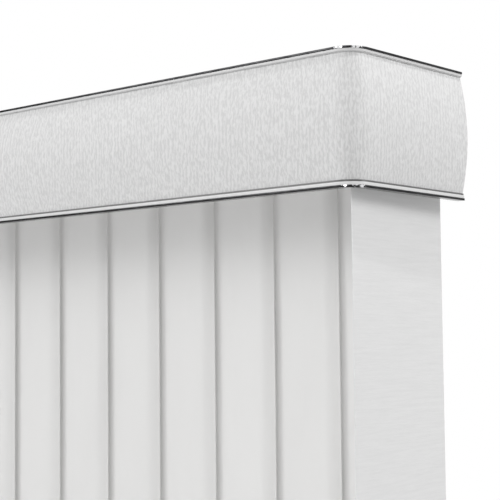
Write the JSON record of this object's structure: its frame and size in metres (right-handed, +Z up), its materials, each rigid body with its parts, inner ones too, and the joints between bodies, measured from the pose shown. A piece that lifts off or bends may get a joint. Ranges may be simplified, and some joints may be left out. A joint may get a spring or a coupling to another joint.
{
  "type": "vertical blind",
  "caption": "Wall-hung vertical blind with closed cambered vanes, a deep textured valance with rounded corners and returns, and an end panel on each side.",
  "frame": {"origin": "on the wall face, midway between the two screw holes of the centre wall bracket", "axes": "+X to the right as seen from the room, +Y into the wall, +Z up"},
  "size_m": [0.7824, 0.1746, 1.209],
  "materials": {
    "rail_aluminium": "satin white coat",
    "bracket_steel": "zinc plated",
    "spring_steel": "plain spring steel",
    "screw_steel": "zinc plated",
    "moulded_plastic": "moulded white",
    "clip_plastic": "moulded white",
    "carrier_plastic": "moulded acetal",
    "worm_plastic": "moulded acetal",
    "stem_plastic": "moulded acetal",
    "valance_white": "satin white",
    "bright_trim": "bright metal",
    "insert_sheet": "streaked relief",
    "vane_sheet": "smooth matt",
    "return_vane_sheet": "fine weave relief",
    "rod_aluminium": "plain drawn",
    "hook_steel": "plated wire",
    "wand_plastic": "clear to white"
  },
  "bodies": {
    "frame": {"headrail": "rail_aluminium", "end_cap_left": "moulded_plastic", "end_cap_right": "moulded_plastic", "wall_bracket_left": "bracket_steel", "wall_bracket_centre": "bracket_steel", "wall_bracket_right": "bracket_steel", "rail_clips": "spring_steel", "clip_screws": "screw_steel", "valance_top_rail": "valance_white", "valance_bottom_rail": "valance_white", "valance_top_trim": "bright_trim", "valance_bottom_trim": "bright_trim", "valance_insert": "insert_sheet", "valance_clips": "clip_plastic", "return_vane_left": "return_vane_sheet", "return_vane_right": "return_vane_sheet", "return_hanger_left": "moulded_plastic", "return_hanger_right": "moulded_plastic", "hanger_screws": "screw_steel", "carrier_9": "carrier_plastic"},
    "rod": {"tilt_rod": "rod_aluminium"},
    "lead_carriage": {"lead_carrier": "carrier_plastic"},
    "carriage_2": {"carrier_2": "carrier_plastic"},
    "carriage_3": {"carrier_3": "carrier_plastic"},
    "carriage_4": {"carrier_4": "carrier_plastic"},
    "carriage_5": {"carrier_5": "carrier_plastic"},
    "carriage_6": {"carrier_6": "carrier_plastic"},
    "carriage_7": {"carrier_7": "carrier_plastic"},
    "carriage_8": {"carrier_8": "carrier_plastic"},
    "hung_vane_1": {"stem_1": "stem_plastic", "vane_1": "vane_sheet"},
    "worm_sleeve_1": {"worm_1": "worm_plastic"},
    "hung_vane_2": {"stem_2": "stem_plastic", "vane_2": "vane_sheet"},
    "worm_sleeve_2": {"worm_2": "worm_plastic"},
    "hung_vane_3": {"stem_3": "stem_plastic", "vane_3": "vane_sheet"},
    "worm_sleeve_3": {"worm_3": "worm_plastic"},
    "hung_vane_4": {"stem_4": "stem_plastic", "vane_4": "vane_sheet"},
    "worm_sleeve_4": {"worm_4": "worm_plastic"},
    "hung_vane_5": {"stem_5": "stem_plastic", "vane_5": "vane_sheet"},
    "worm_sleeve_5": {"worm_5": "worm_plastic"},
    "hung_vane_6": {"stem_6": "stem_plastic", "vane_6": "vane_sheet"},
    "worm_sleeve_6": {"worm_6": "worm_plastic"},
    "hung_vane_7": {"stem_7": "stem_plastic", "vane_7": "vane_sheet"},
    "worm_sleeve_7": {"worm_7": "worm_plastic"},
    "hung_vane_8": {"stem_8": "stem_plastic", "vane_8": "vane_sheet"},
    "worm_sleeve_8": {"worm_8": "worm_plastic"},
    "hung_vane_9": {"stem_9": "stem_plastic", "vane_9": "vane_sheet"},
    "worm_sleeve_9": {"worm_9": "worm_plastic"},
    "spindle": {"wand_spindle": "moulded_plastic"},
    "hung_wand": {"wand_hook": "hook_steel", "wand": "wand_plastic"}
  },
  "joints": [
    {"name": "traverse", "type": "slide", "parent": "frame", "child": "lead_carriage", "axis": [1, 0, 0], "range_m": [0, 0.444]},
    {"name": "traverse_2", "type": "slide", "parent": "frame", "child": "carriage_2", "axis": [1, 0, 0], "range_m": [0, 0.3885]},
    {"name": "traverse_3", "type": "slide", "parent": "frame", "child": "carriage_3", "axis": [1, 0, 0], "range_m": [0, 0.333]},
    {"name": "traverse_4", "type": "slide", "parent": "frame", "child": "carriage_4", "axis": [1, 0, 0], "range_m": [0, 0.2775]},
    {"name": "traverse_5", "type": "slide", "parent": "frame", "child": "carriage_5", "axis": [1, 0, 0], "range_m": [0, 0.222]},
    {"name": "traverse_6", "type": "slide", "parent": "frame", "child": "carriage_6", "axis": [1, 0, 0], "range_m": [0, 0.1665]},
    {"name": "traverse_7", "type": "slide", "parent": "frame", "child": "carriage_7", "axis": [1, 0, 0], "range_m": [0, 0.111]},
    {"name": "traverse_8", "type": "slide", "parent": "frame", "child": "carriage_8", "axis": [1, 0, 0], "range_m": [0, 0.0555]},
    {"name": "tilt", "type": "hinge", "parent": "lead_carriage", "child": "hung_vane_1", "pos_m": [-0.318, -0.055, -0.02], "axis": [0, 0, -1], "range_deg": [0, 170]},
    {"name": "tilt_2", "type": "hinge", "parent": "carriage_2", "child": "hung_vane_2", "pos_m": [-0.2385, -0.055, -0.02], "axis": [0, 0, -1], "range_deg": [0, 170]},
    {"name": "tilt_3", "type": "hinge", "parent": "carriage_3", "child": "hung_vane_3", "pos_m": [-0.159, -0.055, -0.02], "axis": [0, 0, -1], "range_deg": [0, 170]},
    {"name": "tilt_4", "type": "hinge", "parent": "carriage_4", "child": "hung_vane_4", "pos_m": [-0.0795, -0.055, -0.02], "axis": [0, 0, -1], "range_deg": [0, 170]},
    {"name": "tilt_5", "type": "hinge", "parent": "carriage_5", "child": "hung_vane_5", "pos_m": [0, -0.055, -0.02], "axis": [0, 0, -1], "range_deg": [0, 170]},
    {"name": "tilt_6", "type": "hinge", "parent": "carriage_6", "child": "hung_vane_6", "pos_m": [0.0795, -0.055, -0.02], "axis": [0, 0, -1], "range_deg": [0, 170]},
    {"name": "tilt_7", "type": "hinge", "parent": "carriage_7", "child": "hung_vane_7", "pos_m": [0.159, -0.055, -0.02], "axis": [0, 0, -1], "range_deg": [0, 170]},
    {"name": "tilt_8", "type": "hinge", "parent": "carriage_8", "child": "hung_vane_8", "pos_m": [0.2385, -0.055, -0.02], "axis": [0, 0, -1], "range_deg": [0, 170]},
    {"name": "tilt_9", "type": "hinge", "parent": "frame", "child": "hung_vane_9", "pos_m": [0.318, -0.055, -0.02], "axis": [0, 0, -1], "range_deg": [0, 170]},
    {"name": "worm_turn_1", "type": "hinge", "parent": "lead_carriage", "child": "worm_sleeve_1", "pos_m": [-0.318, -0.06585, -0.0106], "axis": [1, 0, 0], "range_deg": [0, 1700]},
    {"name": "worm_turn_2", "type": "hinge", "parent": "carriage_2", "child": "worm_sleeve_2", "pos_m": [-0.2385, -0.06585, -0.0106], "axis": [1, 0, 0], "range_deg": [0, 1700]},
    {"name": "worm_turn_3", "type": "hinge", "parent": "carriage_3", "child": "worm_sleeve_3", "pos_m": [-0.159, -0.06585, -0.0106], "axis": [1, 0, 0], "range_deg": [0, 1700]},
    {"name": "worm_turn_4", "type": "hinge", "parent": "carriage_4", "child": "worm_sleeve_4", "pos_m": [-0.0795, -0.06585, -0.0106], "axis": [1, 0, 0], "range_deg": [0, 1700]},
    {"name": "worm_turn_5", "type": "hinge", "parent": "carriage_5", "child": "worm_sleeve_5", "pos_m": [0, -0.06585, -0.0106], "axis": [1, 0, 0], "range_deg": [0, 1700]},
    {"name": "worm_turn_6", "type": "hinge", "parent": "carriage_6", "child": "worm_sleeve_6", "pos_m": [0.0795, -0.06585, -0.0106], "axis": [1, 0, 0], "range_deg": [0, 1700]},
    {"name": "worm_turn_7", "type": "hinge", "parent": "carriage_7", "child": "worm_sleeve_7", "pos_m": [0.159, -0.06585, -0.0106], "axis": [1, 0, 0], "range_deg": [0, 1700]},
    {"name": "worm_turn_8", "type": "hinge", "parent": "carriage_8", "child": "worm_sleeve_8", "pos_m": [0.2385, -0.06585, -0.0106], "axis": [1, 0, 0], "range_deg": [0, 1700]},
    {"name": "worm_turn_9", "type": "hinge", "parent": "frame", "child": "worm_sleeve_9", "pos_m": [0.318, -0.06585, -0.0106], "axis": [1, 0, 0], "range_deg": [0, 1700]},
    {"name": "rod_turn", "type": "hinge", "parent": "frame", "child": "rod", "pos_m": [0, -0.06585, -0.0106], "axis": [1, 0, 0], "range_deg": [0, 1700]},
    {"name": "spindle_turn", "type": "hinge", "parent": "lead_carriage", "child": "spindle", "pos_m": [-0.3395, -0.111, -0.03], "axis": [0, 0, 1], "range_deg": [0, 1438.46]},
    {"name": "wand_swing", "type": "hinge", "parent": "spindle", "child": "hung_wand", "pos_m": [-0.3395, -0.111, -0.0315], "axis": [0, -1, 0], "range_deg": [-1.5, 20]}
  ],
  "couplings": [
    {"joint": "traverse_2", "follows": "traverse", "ratio": 0.875},
    {"joint": "traverse_3", "follows": "traverse", "ratio": 0.75},
    {"joint": "traverse_4", "follows": "traverse", "ratio": 0.625},
    {"joint": "traverse_5", "follows": "traverse", "ratio": 0.5},
    {"joint": "traverse_6", "follows": "traverse", "ratio": 0.375},
    {"joint": "traverse_7", "follows": "traverse", "ratio": 0.25},
    {"joint": "traverse_8", "follows": "traverse", "ratio": 0.125},
    {"joint": "tilt_2", "follows": "tilt", "ratio": 1},
    {"joint": "tilt_3", "follows": "tilt", "ratio": 1},
    {"joint": "tilt_4", "follows": "tilt", "ratio": 1},
    {"joint": "tilt_5", "follows": "tilt", "ratio": 1},
    {"joint": "tilt_6", "follows": "tilt", "ratio": 1},
    {"joint": "tilt_7", "follows": "tilt", "ratio": 1},
    {"joint": "tilt_8", "follows": "tilt", "ratio": 1},
    {"joint": "tilt_9", "follows": "tilt", "ratio": 1},
    {"joint": "worm_turn_1", "follows": "tilt", "ratio": 10},
    {"joint": "worm_turn_2", "follows": "tilt", "ratio": 10},
    {"joint": "worm_turn_3", "follows": "tilt", "ratio": 10},
    {"joint": "worm_turn_4", "follows": "tilt", "ratio": 10},
    {"joint": "worm_turn_5", "follows": "tilt", "ratio": 10},
    {"joint": "worm_turn_6", "follows": "tilt", "ratio": 10},
    {"joint": "worm_turn_7", "follows": "tilt", "ratio": 10},
    {"joint": "worm_turn_8", "follows": "tilt", "ratio": 10},
    {"joint": "worm_turn_9", "follows": "tilt", "ratio": 10},
    {"joint": "rod_turn", "follows": "tilt", "ratio": 10},
    {"joint": "spindle_turn", "follows": "tilt", "ratio": 8.4615}
  ]
}
